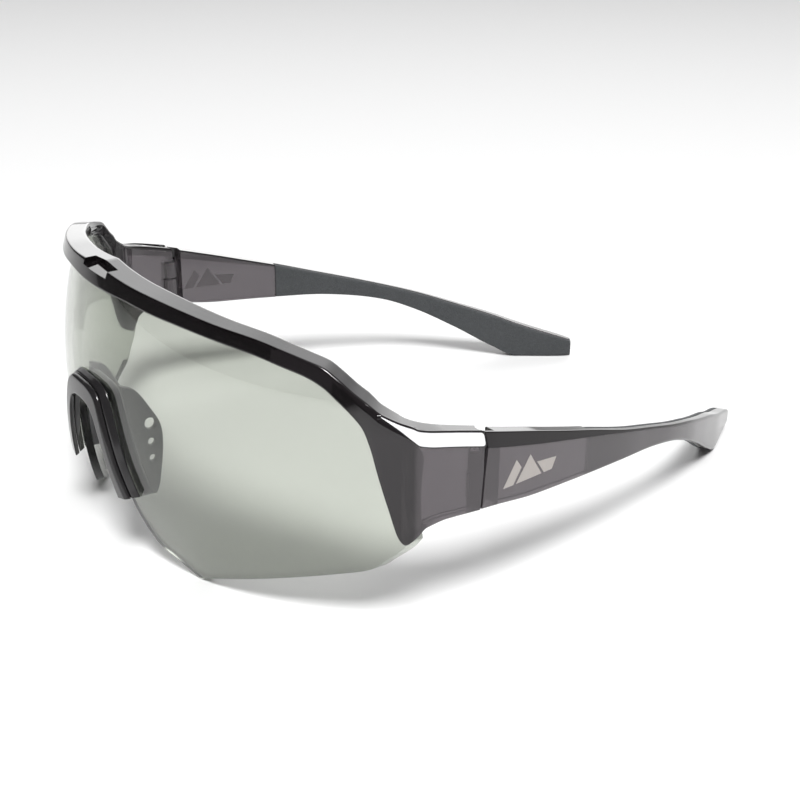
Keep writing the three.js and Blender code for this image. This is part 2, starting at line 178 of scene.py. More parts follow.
def front_point(s, n, z):
    """Point of the front: s along the bar, n out of it and z up. It leans back with the lens."""
    x, y, nx, ny = plan_at(s)
    fade = min(max((CORNER_END - abs(s)) / (CORNER_END - ARC_END), 0), 1)
    out = n - fade * (BROW_R - math.sqrt(BROW_R ** 2 - (z - LENS_CENTRE.z) ** 2))
    return Vector((x + out * nx, y + out * ny, z))


def lens_depth(s, z, radius):
    """How far out of the bar's outer face a ball about the lens's centre lies, at s and z."""
    base = front_point(s, 0, z)
    _, _, nx, ny = plan_at(s)
    rx, ry, rz = base - LENS_CENTRE
    half = rx * nx + ry * ny
    return -half + math.sqrt(half ** 2 - (rx ** 2 + ry ** 2 + rz ** 2 - radius ** 2))


def smooth_table(rows):
    """Smooth curve through rows of (key, value, value...), without overshoot."""
    keys = np.array([row[0] for row in rows], float)
    values = np.array([row[1:] for row in rows], float)
    slopes = np.diff(values, axis=0) / np.diff(keys)[:, None]
    tangent = np.zeros_like(values)
    tangent[0], tangent[-1] = slopes[0], slopes[-1]
    same = slopes[:-1] * slopes[1:] > 0
    tangent[1:-1][same] = (2 * slopes[:-1] * slopes[1:])[same] / (slopes[:-1] + slopes[1:])[same]

    def value_at(key):
        i = int(min(max(np.searchsorted(keys, key) - 1, 0), len(keys) - 2))
        gap = keys[i + 1] - keys[i]
        t = min(max((key - keys[i]) / gap, 0), 1)
        return ((2 * t ** 3 - 3 * t ** 2 + 1) * values[i] + (t ** 3 - 2 * t ** 2 + t) * gap * tangent[i]
                + (3 * t ** 2 - 2 * t ** 3) * values[i + 1] + (t ** 3 - t ** 2) * gap * tangent[i + 1])
    return value_at


def rounded(corners, steps=5, support=0.00012):
    """Outline of a section with its corners rounded. Each corner is (a, b, radius)."""
    points = []
    count = len(corners)
    for i, (a, b, radius) in enumerate(corners):
        here = Vector((a, b))
        before = Vector(corners[i - 1][:2]) - here
        after = Vector(corners[(i + 1) % count][:2]) - here
        start = before.normalized() * min(radius, 0.45 * before.length)
        end = after.normalized() * min(radius, 0.45 * after.length)
        points.append(here + start + before.normalized() * min(support, 0.04 * before.length))
        for k in range(steps + 1):
            t = k / steps
            points.append(here + start * (1 - t) ** 2 + end * t ** 2)
        points.append(here + end + after.normalized() * min(support, 0.04 * after.length))
    return points


def loft(name, rings, closed_ends=True):
    """Mesh through a row of section rings, with flat ends."""
    count = len(rings[0])
    points = [tuple(p) for ring in rings for p in ring]
    faces = []
    for row in range(len(rings) - 1):
        for i in range(count):
            j = (i + 1) % count
            faces.append((row * count + i, row * count + j, (row + 1) * count + j, (row + 1) * count + i))
    if closed_ends:
        faces.append(tuple(range(count - 1, -1, -1)))
        faces.append(tuple((len(rings) - 1) * count + i for i in range(count)))
    data = bpy.data.meshes.new(name)
    data.from_pydata(points, [], faces)
    piece = bpy.data.objects.new(name, data)
    scene.collection.objects.link(piece)
    finish_faces(piece)
    return piece


def finish_faces(piece, angle=30):
    """Merges doubles, turns the faces outwards and shades smooth, with real edges kept sharp."""
    shape = bmesh.new()
    shape.from_mesh(piece.data)
    bmesh.ops.remove_doubles(shape, verts=shape.verts, dist=1e-7)
    bmesh.ops.dissolve_degenerate(shape, edges=shape.edges, dist=1e-7)
    bmesh.ops.recalc_face_normals(shape, faces=shape.faces)
    shape.to_mesh(piece.data)
    shape.free()
    piece.data.shade_smooth()
    piece.data.set_sharp_from_angle(angle=math.radians(angle))


def cut(piece, *tools):
    """Takes the tools' shapes out of a piece and deletes the tools."""
    for tool in tools:
        change = piece.modifiers.new("cut", "BOOLEAN")
        change.operation = "DIFFERENCE"
        change.solver = "EXACT"
        change.object = tool
        evaluated = piece.evaluated_get(bpy.context.evaluated_depsgraph_get())
        result = bpy.data.meshes.new_from_object(evaluated)
        piece.modifiers.clear()
        piece.data = result
        bpy.data.objects.remove(tool)
    finish_faces(piece)


def block(name, low, high):
    corners = ((low[0], low[1]), (high[0], low[1]), (high[0], high[1]), (low[0], high[1]))
    return loft(name, [[Vector((a, b, z)) for a, b in corners] for z in (low[2], high[2])])


def post(name, x, y, z0, z1, radius, sides=40):
    """Upright round piece."""
    turns = [2 * math.pi * i / sides for i in range(sides)]
    return loft(name, [[Vector((x + radius * math.cos(a), y + radius * math.sin(a), z)) for a in turns]
                       for z in (z0, z1)])


# Half of the bar, in millimetres: distance, lower edge, ridge, depth, height of the sloped facet.
bar_at = smooth_table([
    (0, 58.6, 62.9, 5.4, 0.3), (14, 58.7, 61.9, 5.2, 0.3), (25, 58.1, 61.2, 5, 0.3),
    (33, 57.6, 60.5, 4.8, 0.3), (42, 56.7, 59.5, 4.6, 0.3), (51, 55.6, 58.5, 4.4, 0.3),
    (58, 54.1, 57.1, 4.4, 0.3), (62.5, 53, 56, 4.5, 0.4), (66, 51.5, 55, 4.6, 0.5),
    (69, 49.3, 53.2, 4.8, 0.7), (72, 46.8, 51, 5.1, 0.9), (74, 44.6, 49.7, 5.3, 1.1),
    (75.6, 41, 48.7, 5.4, 1.2), (77.1, 35.6, 47.7, 5.5, 1.4), (79, 29, 46.8, 5.6, 1.6),
    (81.2, 22.2, 45.8, 5.6, 1.8), (82.4, 21, 45.2, 5.5, 1.9), (84.4, 22.3, 44.5, 5.4, 2.1),
    (86.5, 24.4, 44, 5.2, 2.4), (91, 25.4, 43.1, 4.9, 2.5), (96, 25.3, 41.9, 4.7, 2.5),
    (103, 25.1, 40.1, 4.6, 2.5),
])
HINGE_GAP = 0.0005
BAR_END = CORNER_END + 0.01053 - HINGE_GAP / 2
LENS_END = 0.0817
FIT = 0.0003

# Right half of the lens's upper edge in millimetres. The groove follows it.
LENS_EDGE = [(0, 59.8), (20, 59.5), (38, 58.1), (48, 56.2), (53.6, 54.3), (56.2, 53.2), (58.5, 51.4),
             (61, 49.1), (64.7, 45.6), (67.2, 42.9), (69, 39.6)]


def lens_edge_at(x):
    return float(np.interp(x, [p[0] * MM for p in LENS_EDGE], [p[1] * MM for p in LENS_EDGE]))


def bar_section(s):
    low, ridge, depth, facet = (v * MM for v in bar_at(abs(s) * 1000))
    if abs(s) < LENS_END:
        slot_top = min(lens_edge_at(front_point(abs(s), -0.6 * depth, low).x) + FIT, ridge - 0.0015)
        walls = [lens_depth(s, z, radius) for z in (low, slot_top)
                 for radius in (LENS_R + FIT, LENS_R - LENS_THICK - FIT)]
    else:
        slot_top = low + 0.00001
        walls = [-0.4 * depth, -0.6 * depth] * 2
    front_low, front_top = (min(wall, -0.0006) for wall in walls[::2])
    rear_low, rear_top = (max(wall, 0.0012 - depth) for wall in walls[1::2])
    return rounded([
        (0, low, 0.0004), (0, ridge - facet, 0.0003), (-0.35 * facet, ridge, 0.0003),
        (-depth, ridge + 0.0002, 0.0008), (-depth, low + 0.0002, 0.0005),
        (rear_low, low + 0.0002, 0.0003), (rear_top, slot_top, 0.0002), (front_top, slot_top, 0.0002),
        (front_low, low, 0.0003)])


def make_front():
    stations = [0.0]
    while stations[-1] < BAR_END:
        stations.append(stations[-1] + (0.0012 if stations[-1] < 0.066 else 0.0004))
    stations[-1] = BAR_END
    stations = [-s for s in reversed(stations[1:])] + stations
    return loft("front_frame", [[front_point(s, p[0], p[1]) for p in bar_section(s)] for s in stations])


def side_prism(name, outline, x0, x1):
    """Straight piece along x, of an outline in y and z given in millimetres from the hinge gap."""
    ring = [(y / 1000 - FOOTPRINT_SHIFT, z / 1000) for y, z in outline]
    return loft(name, [[Vector((x, y, z)) for y, z in ring] for x in (x0, x1)])


front_frame = make_front()
NOTCH_HALF = 0.006
cut(front_frame, side_prism("notch", [(-54, 60.6), (-46.4, 61.5), (-46.1, 70), (-54, 70)],
                            -NOTCH_HALF, NOTCH_HALF))
KNUCKLE_R = 0.0026
# The gap seen from outside, y and z in millimetres: the arm's skin laps over the hinge.
GAP_LINE = [(-3.7, 20), (-3.45, 26.4), (-3.05, 32.6), (-2.5, 38), (-2.35, 45)]
HALF_GAP = 0.2
SKIN_STEP = 37.7  # the skin is thicker above this height, in millimetres
SKIN_BOTTOM, SKIN_TOP = 20, 45
SWEEP_R = 0.0036  # room for the skin to turn round the screw
SWEEP_TURN, SWEEP_STEPS = math.radians(145), 18
SWEEP_LOW, SWEEP_HIGH = 0.02, 0.045
# How far from the middle the room for the thin and the thick part of the skin begins and ends.
THIN_ROOM, THICK_ROOM = (0.07205, 0.08), (0.07075, 0.0725)
SLOT_DEPTH = 0.005  # how far in from the screw's axis the slot for the tongue runs
KNUCKLES = {"low": 0.0256, "low_top": 0.028, "high_low": 0.0332, "high_top": 0.0375}
for side in (1, -1):
    x = side * HINGE_X
    edges = sorted((side * (HINGE_X - SLOT_DEPTH), side * (HINGE_X + KNUCKLE_R)))
    sweep = [(x, HINGE_Y)] + [(x + side * SWEEP_R * math.cos(a), HINGE_Y + SWEEP_R * math.sin(a))
                              for a in (SWEEP_TURN * i / SWEEP_STEPS for i in range(SWEEP_STEPS + 1))]
    gap = [(y - HALF_GAP, z) for y, z in GAP_LINE]
    high_gap = [(y, max(z, SKIN_STEP)) for y, z in gap[1:]]
    cut(front_frame,
        loft("sweep", [[Vector((a, b, z)) for a, b in sweep] for z in (SWEEP_LOW, SWEEP_HIGH)]),
        side_prism("skin", gap + [(1, SKIN_TOP), (1, SKIN_BOTTOM)], *(side * x for x in THIN_ROOM)),
        side_prism("skin_top", high_gap + [(1, SKIN_TOP), (1, SKIN_STEP)],
                   *(side * x for x in THICK_ROOM)),
        post("slot", x, HINGE_Y, KNUCKLES["low_top"], KNUCKLES["high_low"], KNUCKLE_R),
        block("slot_rear", (edges[0], HINGE_Y, KNUCKLES["low_top"]),
              (edges[1], HINGE_Y + 0.01, KNUCKLES["high_low"])))


def polish_group():
    """Node group: fine flow marks and handling dust of polished plastic."""
    group = bpy.data.node_groups.new("polish", "ShaderNodeTree")
    for name in ("Roughness", "Wear", "Grain"):
        group.interface.new_socket(name, in_out="INPUT", socket_type="NodeSocketFloat")
    group.interface.new_socket("Roughness", in_out="OUTPUT", socket_type="NodeSocketFloat")
    group.interface.new_socket("Height", in_out="OUTPUT", socket_type="NodeSocketFloat")
    group.interface.new_socket("Shade", in_out="OUTPUT", socket_type="NodeSocketFloat")
    nodes, links = group.nodes, group.links
    entry = nodes.new("NodeGroupInput")
    exit_node = nodes.new("NodeGroupOutput")
    place = nodes.new("ShaderNodeTexCoord")
    smears = nodes.new("ShaderNodeTexNoise")
    smears.inputs["Scale"].default_value = 60
    smears.inputs["Detail"].default_value = 4
    flow = nodes.new("ShaderNodeTexNoise")
    flow.inputs["Distortion"].default_value = 1.5
    links.new(place.outputs["Object"], smears.inputs["Vector"])
    links.new(place.outputs["Object"], flow.inputs["Vector"])
    links.new(entry.outputs["Grain"], flow.inputs["Scale"])
    spread = nodes.new("ShaderNodeMath")
    spread.operation = "MULTIPLY"
    links.new(smears.outputs["Fac"], spread.inputs[0])
    links.new(entry.outputs["Wear"], spread.inputs[1])
    total = nodes.new("ShaderNodeMath")
    total.operation = "ADD"
    links.new(entry.outputs["Roughness"], total.inputs[0])
    links.new(spread.outputs["Value"], total.inputs[1])
    links.new(total.outputs["Value"], exit_node.inputs["Roughness"])
    links.new(flow.outputs["Fac"], exit_node.inputs["Height"])
    links.new(flow.outputs["Fac"], exit_node.inputs["Shade"])
    return group


polish = polish_group()


def finish(name, colour, darker, roughness, wear=0.03, bump=0.02, grain=22, **sockets):
    """Polished material whose colour drifts between two close shades."""
    material = bpy.data.materials.new(name)
    material.use_nodes = True
    nodes, links = material.node_tree.nodes, material.node_tree.links
    shader = nodes["Principled BSDF"]
    for socket, value in sockets.items():
        shader.inputs[socket.replace("_", " ")].default_value = value
    effect = nodes.new("ShaderNodeGroup")
    effect.node_tree = polish
    effect.inputs["Roughness"].default_value = roughness
    effect.inputs["Wear"].default_value = wear
    effect.inputs["Grain"].default_value = grain
    mix = nodes.new("ShaderNodeMix")
    mix.data_type = "RGBA"
    mix.inputs[6].default_value = (*colour, 1)
    mix.inputs[7].default_value = (*darker, 1)
    links.new(effect.outputs["Shade"], mix.inputs[0])
    links.new(mix.outputs[2], shader.inputs["Base Color"])
    links.new(effect.outputs["Roughness"], shader.inputs["Roughness"])
    surface = nodes.new("ShaderNodeBump")
    surface.inputs["Strength"].default_value = bump
    surface.inputs["Distance"].default_value = 0.0002
    links.new(effect.outputs["Height"], surface.inputs["Height"])
    links.new(surface.outputs["Normal"], shader.inputs["Normal"])
    return material, shader


SMOKE = {"colour": (0.145, 0.128, 0.138), "darker": (0.122, 0.108, 0.118), "roughness": 0.04,
         "Transmission_Weight": 0.6, "IOR": 1.5}
smoke, _ = finish("smoke_plastic", **SMOKE)


def paint_shade_along(material, shader, deep, axis, start, end):
    """Paints shade: mixes a darker colour over the base colour along an axis, from none at start to all at
    end.
    """
    nodes, links = material.node_tree.nodes, material.node_tree.links
    place = nodes.new("ShaderNodeTexCoord")
    split = nodes.new("ShaderNodeSeparateXYZ")
    reach = nodes.new("ShaderNodeMapRange")
    reach.inputs["From Min"].default_value = start
    reach.inputs["From Max"].default_value = end
    over = nodes.new("ShaderNodeMix")
    over.data_type = "RGBA"
    over.inputs[7].default_value = (*deep, 1)
    links.new(place.outputs["Object"], split.inputs[0])
    links.new(split.outputs[axis], reach.inputs["Value"])
    links.new(reach.outputs["Result"], over.inputs[0])
    links.new(shader.inputs["Base Color"].links[0].from_socket, over.inputs[6])
    links.new(over.outputs[2], shader.inputs["Base Color"])


bar_smoke_painted_shade, front_shader = finish("smoke_plastic_bar_painted_shade", **SMOKE)
# Painted shade: the bar grows darker toward its front, which faces the dim room ahead, and turns near black
# between 43 and 49 mm up.
paint_shade_along(bar_smoke_painted_shade, front_shader, (0.042, 0.036, 0.04), "Y", start=-0.0445, end=-0.0455)
paint_shade_along(bar_smoke_painted_shade, front_shader, (0.012, 0.01, 0.011), "Z", start=0.043, end=0.049)


def settle(piece, material, body, slot, *nodes):
    """Gives a piece its material, its body and the CAD nodes it stands for, which it hides; the slot is not
    used.
    """
    piece.data.materials.clear()
    piece.data.materials.append(material)
    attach(piece, body)
    if nodes:
        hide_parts(*nodes)


settle(front_frame, bar_smoke_painted_shade, "front", "smoke_plastic", "frame_front")

# Near-black copy of the smoke plastic: painted shade for the sloped facets, also used on the trim seats.
painted_shade_smoke, _ = finish("smoke_plastic_painted_shade", (0.014, 0.012, 0.013), (0.011, 0.0095, 0.0105),
                       roughness=0.04, IOR=1.5)


def paint_facet_shade(piece, above):
    """Paints shade on the sloped upper facet: its faces take the near-black painted-shade smoke."""
    piece.data.materials.append(painted_shade_smoke)
    shade_slot = len(piece.data.materials) - 1
    for face in piece.data.polygons:
        if above(face.center):
            face.material_index = shade_slot


plan_stations = np.linspace(0.07, BAR_END, 200)
plan_line = np.array([front_point(s, -0.002, 0.04)[:2] for s in plan_stations])


def on_endpiece_facet(at):
    near = np.argmin(np.hypot(plan_line[:, 0] - abs(at.x), plan_line[:, 1] - at.y))
    _, ridge, _, facet = (v * MM for v in bar_at(plan_stations[near] * 1000))
    return abs(at.x) > 0.05 and at.z > ridge - facet


# Painted shade on the sloped facets of the endpieces.
paint_facet_shade(front_frame, on_endpiece_facet)


# --- Hinges -----------------------------------------------------------------------------------
# Two knuckles moulded on each endpiece hold the arm's tongue between them. A turned steel screw
# runs up through all three into a sleeve set in the upper knuckle.

def barrel(name, x, z0, z1, radius, bore):
    """Round knuckle with a hole through it and rounded rims."""
    bore_edge, rim = 0.0001, 0.0003
    section = rounded([(bore, z0, bore_edge), (radius, z0, rim), (radius, z1, rim), (bore, z1, bore_edge)], 3)
    sides = 48
    rings = [[Vector((x + p[0] * math.cos(a), HINGE_Y + p[0] * math.sin(a), p[1])) for p in section]
             for a in (2 * math.pi * i / sides for i in range(sides))]
    return loft(name, rings + rings[:1], closed_ends=False)


LOW_BORE, HIGH_BORE = 0.002, 0.0021
for side, word in ((1, "left"), (-1, "right")):
    for name, low, high, bore in (
            ("knuckle_low", KNUCKLES["low"], KNUCKLES["low_top"], LOW_BORE),
            ("knuckle_high", KNUCKLES["high_low"], KNUCKLES["high_top"], HIGH_BORE)):
        knuckle = barrel(f"{name}_{word}", side * HINGE_X, low, high, KNUCKLE_R - FIT, bore)
        settle(knuckle, smoke, "front", "smoke_plastic")

steel, _ = finish("turned_steel", (0.52, 0.53, 0.54), (0.44, 0.45, 0.46), roughness=0.22, wear=0.12,
                  bump=0.1, Metallic=1.0)
for word in ("left", "right"):
    for kind in ("hinge_screw", "hinge_sleeve"):
        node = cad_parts[f"{kind}_{word}"]
        node.data.materials.clear()
        node.data.materials.append(steel)


# --- Bright trims -----------------------------------------------------------------------------
# A slim inlay on the sloped facet of each endpiece, moulded in plastic and metal plated.

trim_at = smooth_table([(77.6, 47.1, 0.15), (80.9, 45.3, 0.9), (83.6, 43.7, 2.1), (85, 42.8, 2.5),
                        (91, 41.75, 2.55), (99.4, 39.85, 2.55)])


def trim_section(s, grow, proud):
    middle, height = (v * MM for v in trim_at(s * 1000))
    _, ridge, _, facet = (v * MM for v in bar_at(s * 1000))
    low, high = middle - height / 2 - grow, middle + height / 2 + grow
    slope = [-0.35 * facet * min(max((z - ridge + facet) / facet, 0), 1) for z in (low, high)]
    return rounded([(slope[0] - 0.0006, low, 0.0001), (slope[0] + proud, low, 0.0002),
                    (slope[1] + proud, high, 0.0002), (slope[1] - 0.0006, high, 0.0001)], 4)


def trim_strip(name, side, start, end, grow, proud):
    """Strip along the facet whose rear end is rounded."""
    steps, corner = 90, 0.0006
    stations = [start + (end - start) * i / steps for i in range(steps + 1)]

    def closing(s):
        rest = min(max((corner - (end - s)) / corner, 0), 1)
        return corner * (1 - math.sqrt(1 - rest ** 2)) * 0.9
    stations = sorted(stations + [end - corner * share for share in (0.7, 0.4, 0.2, 0.08, 0.02)])
    return loft(name, [[front_point(side * s, p[0], p[1]) for p in trim_section(s, grow - closing(s), proud)]
                       for s in stations])


bright, _ = finish("bright_plating", (0.9, 0.9, 0.91), (0.84, 0.84, 0.86), roughness=0.3, wear=0.06,
                   bump=0.05, Metallic=0.2)
TRIM_FROM, TRIM_TO = 0.0776, 0.0989
TRIM_PROUD, SEAT_PROUD = 0.00018, 0.00006
SEAT_AHEAD, SEAT_BEHIND, SEAT_GROW = 0.0008, 0.0003, 0.0003
for side, word in ((1, "left"), (-1, "right")):
    settle(trim_strip(f"bright_trim_{word}", side, TRIM_FROM, TRIM_TO, 0, TRIM_PROUD), bright, "front",
           "bright_trim", f"trim_{word}")
    # The seat round each trim is in the painted-shade smoke and shows as a thin dark line round it.
    settle(trim_strip(f"trim_seat_{word}", side, TRIM_FROM - SEAT_AHEAD, TRIM_TO + SEAT_BEHIND, SEAT_GROW,
                      SEAT_PROUD), painted_shade_smoke, "front", "smoke_plastic")


# --- Lens -------------------------------------------------------------------------------------
# One shield of tinted polycarbonate, a slice of a ball 88 mm in radius and 1.8 mm thick, cut out
# round the nose. Its upper edge sits in the bar's groove and its ends in the endpieces.

def on_lens(x, z, radius):
    return Vector((x, LENS_CENTRE.y - math.sqrt(radius ** 2 - x ** 2 - (z - LENS_CENTRE.z) ** 2), z))


def spline(points, count):
    """Evenly spaced points along a smooth curve through the given ones."""
    p = [Vector(q) for q in points]
    p = [2 * p[0] - p[1]] + p + [2 * p[-1] - p[-2]]
    dense = []
    for i in range(1, len(p) - 2):
        for k in range(24):
            t = k / 24
            dense.append(0.5 * (2 * p[i] + (p[i + 1] - p[i - 1]) * t
                                + (2 * p[i - 1] - 5 * p[i] + 4 * p[i + 1] - p[i + 2]) * t ** 2
                                + (3 * p[i] - p[i - 1] - 3 * p[i + 1] + p[i + 2]) * t ** 3))
    dense.append(p[-2])
    length = np.concatenate([[0], np.cumsum([(b - a).length for a, b in zip(dense, dense[1:])])])
    at = np.linspace(0, length[-1], count)
    return [Vector((float(np.interp(s, length, [q[0] for q in dense])),
                    float(np.interp(s, length, [q[1] for q in dense])))) for s in at]


COLUMNS = 90
lens_top = spline(LENS_EDGE + [(69.4, 37.6), (69.4, 36)], COLUMNS)
NOSE_COLUMNS = 46
lens_low = (spline([(0, 37.2), (5.6, 36.2), (8.4, 33.6), (9.9, 29.3), (10.9, 25), (11.7, 21), (12, 17.5),
                    (12.6, 14.1), (13.6, 11.4), (15.6, 7.9), (18, 4.9), (22.3, 3.1), (26, 1), (27.4, 0.15)],
                   NOSE_COLUMNS)
            + spline([(28.6, 0.2), (30, 1), (45, 6.7), (58, 11.5), (63.4, 13.6), (65.8, 16), (68.2, 18.8),
                      (69.4, 21)], COLUMNS - NOSE_COLUMNS))


def make_lens():
    top = [Vector((-p[0], p[1])) for p in reversed(lens_top[1:])] + lens_top
    low = [Vector((-p[0], p[1])) for p in reversed(lens_low[1:])] + lens_low
    rows = [0, 0.003, 0.006] + [k / 30 for k in range(1, 30)] + [0.994, 0.997, 1]
    shape = bmesh.new()
    layers = [[[shape.verts.new(on_lens(*((a + (b - a) * v) * MM), radius)) for a, b in zip(low, top)]
               for v in rows] for radius in (LENS_R, LENS_R - LENS_THICK)]
    last = len(low) - 1
    for grid, turn in zip(layers, (False, True)):
        for i in range(len(rows) - 1):
            for j in range(last):
                face = [grid[i][j], grid[i][j + 1], grid[i + 1][j + 1], grid[i + 1][j]]
                shape.faces.new(face[::-1] if turn else face)
    outer, inner = layers
    rim = ([(0, j) for j in range(last + 1)] + [(i, last) for i in range(1, len(rows))]
           + [(len(rows) - 1, j) for j in range(last - 1, -1, -1)]
           + [(i, 0) for i in range(len(rows) - 2, 0, -1)])
    for (i, j), (k, l) in zip(rim, rim[1:] + rim[:1]):
        shape.faces.new([outer[i][j], inner[i][j], inner[k][l], outer[k][l]])
    data = bpy.data.meshes.new("shield_lens")
    shape.to_mesh(data)
    shape.free()
    piece = bpy.data.objects.new("shield_lens", data)
    scene.collection.objects.link(piece)
    finish_faces(piece)
    return piece


def mark_seated(piece):
    """Vertex value that is 1 where the lens sits inside the bar or the endpieces."""
    fade = 0.0006
    along = np.linspace(0, BAR_END, 400)
    reach = np.array([front_point(s, 0, bar_at(s * 1000)[0] * MM).x for s in along])
    edge = np.array([bar_at(s * 1000)[0] for s in along]) * MM
    values = [min(max((v.co.z - float(np.interp(abs(v.co.x), reach, edge)) - fade) / fade, 0), 1)
              for v in piece.data.vertices]
    piece.data.attributes.new("seated", "FLOAT", "POINT").data.foreach_set("value", values)


shield_lens = make_lens()
mark_seated(shield_lens)
tint, tint_shader = finish("tinted_lens", (0.52, 0.545, 0.49), (0.51, 0.535, 0.48), roughness=0.0,
                           wear=0.004, bump=0.0, Transmission_Weight=1.0, IOR=1.5)


def shade_where(material, shader, attribute, colour):
    """Mixes a colour over the base colour by a value stored on the mesh."""
    nodes, links = material.node_tree.nodes, material.node_tree.links
    value = nodes.new("ShaderNodeAttribute")
    value.attribute_name = attribute
    over = nodes.new("ShaderNodeMix")
    over.data_type = "RGBA"
    over.inputs[7].default_value = (*colour, 1)
    links.new(value.outputs["Fac"], over.inputs[0])
    links.new(shader.inputs["Base Color"].links[0].from_socket, over.inputs[6])
    links.new(over.outputs[2], shader.inputs["Base Color"])


# Painted shade: the lens darkens toward its bottom, standing in for the shadow on the floor seen through it.
paint_shade_along(tint, tint_shader, (0.38, 0.40, 0.355), "Z", start=0.024, end=0.002)
# Painted shade: the lens turns near black where it sits inside the bar and the endpieces.
shade_where(tint, tint_shader, "seated", (0.05, 0.045, 0.05))
settle(shield_lens, tint, "front", "lens", "lens_shield")


# --- Nose piece -------------------------------------------------------------------------------
# An arch in two glossy black layers clips round the nose cut-out from the front. Behind the lens
# a soft smoke-grey holder carries two wings with three holes each, which rest on the wearer's nose.

# Half outlines of the arch in millimetres, x and z from the foot to the middle: against the lens,
# and at its face, which is narrower because the sides slope in.
NOSE_BACK = {
    "outer": [(16.9, 16.6), (15.9, 18.9), (13.8, 24.3), (12.1, 29.4), (10.2, 34.2), (7.8, 37.8),
              (4.2, 39.1), (0, 39.3)],
    "inner": [(13.9, 15.9), (12.7, 19.1), (11, 23.6), (9.6, 26.6), (8.2, 30.2), (6.5, 33.4), (3.6, 34.8),
              (0, 35.1)],
}
NOSE_FACE = {
    "outer": [(15.2, 16), (14.2, 18.4), (12.1, 23.6), (10.5, 28.2), (8.9, 32.6), (7.1, 36.4), (3.9, 37.9),
              (0, 38.2)],
    "inner": [(11.9, 15.2), (11, 18.3), (9.7, 22.4), (8.7, 25.8), (7.3, 29.6), (5.5, 32.6), (3, 34),
              (0, 34.3)],
}


def arch_outline(edge, share):
    """Outline of one side of the arch, part of the way from the lens to the face."""
    steps = 60
    half = [a.lerp(b, share) * MM
            for a, b in zip(spline(NOSE_BACK[edge], steps), spline(NOSE_FACE[edge], steps))]
    return half + [Vector((-p[0], p[1])) for p in reversed(half[:-1])]


def nose_arch(name, back, face, trim, edge):
    """Layer of the arch from back to face, each a radius about the lens's centre and a share."""
    outlines = [(radius, arch_outline("inner", share), arch_outline("outer", share))
                for radius, share in (back, face)]
    rings = []
    for i in range(len(outlines[0][1])):
        (r0, in0, out0), (r1, in1, out1) = [(r, inner[i], outer[i]) for r, inner, outer in outlines]
        across = (out0 - in0).normalized()
        step = (in1 - in0).dot(across)
        w0, w1 = (out0 - in0).length - trim, step + (out1 - in1).length - trim
        section = rounded([(0, r0, edge), (w0, r0, edge), (w1, r1, edge), (step, r1, edge)], 4)
        rings.append([on_lens(*(in0 + across * p[0]), p[1]) for p in section])
    return loft(name, rings)


black, _ = finish("black_plastic", (0.022, 0.021, 0.022), (0.016, 0.015, 0.016), roughness=0.1,
                  wear=0.05, bump=0.04)
# The arch stands ARCH_OUT off the lens and is split SEAM_SHARE of the way out, by a thin groove.
ARCH_OUT, SEAM_SHARE, BASE_SHARE = 0.0027, 0.6, 0.56
CLEARANCE, GROOVE = 0.0001, 0.00015
HOLDER_THICK, HOLDER_TRIM = 0.0025, 0.0012
ARCH_EDGE, BASE_EDGE = 0.0005, 0.0003
LENS_BACK, SEAM_R = LENS_R - LENS_THICK, LENS_R + SEAM_SHARE * ARCH_OUT
settle(nose_arch("nose_rim", (SEAM_R, SEAM_SHARE), (LENS_R + ARCH_OUT, 1), 0, ARCH_EDGE), black, "front",
       "bezel_plastic", "nose_bezel")
settle(nose_arch("nose_rim_base", (LENS_R + CLEARANCE, 0), (SEAM_R - GROOVE, BASE_SHARE), 0, BASE_EDGE),
       black, "front", "bezel_plastic", "nose_bezel_base")
soft_smoke, _ = finish("soft_smoke", (0.115, 0.115, 0.12), (0.09, 0.09, 0.094), roughness=0.28,
                       wear=0.1, bump=0.1, Transmission_Weight=0.3)
settle(nose_arch("nose_holder", (LENS_BACK - HOLDER_THICK, 0), (LENS_BACK - CLEARANCE, 0), HOLDER_TRIM,
                 ARCH_EDGE), soft_smoke, "front", "nose_rubber", "nose_carrier")

# Side view of a wing and its holes (y, z, radius), in millimetres from the hinge gap.
WING = [(-48.2, 38.6), (-45.2, 37), (-42.6, 32.6), (-41.2, 29.2), (-41.4, 25), (-42.9, 19.2), (-43.8, 16.6),
        (-44.8, 15.6), (-45.6, 17), (-46.7, 22), (-47.3, 26), (-47.8, 32), (-48.2, 38.6)]
WING_HOLES = [(-43.4, 29.9, 1.15), (-43.7, 26.2, 0.75), (-44, 22.9, 0.7)]
WING_THICK, WING_SPLAY, WING_FOOT = 0.0015, 0.27, 0.0178


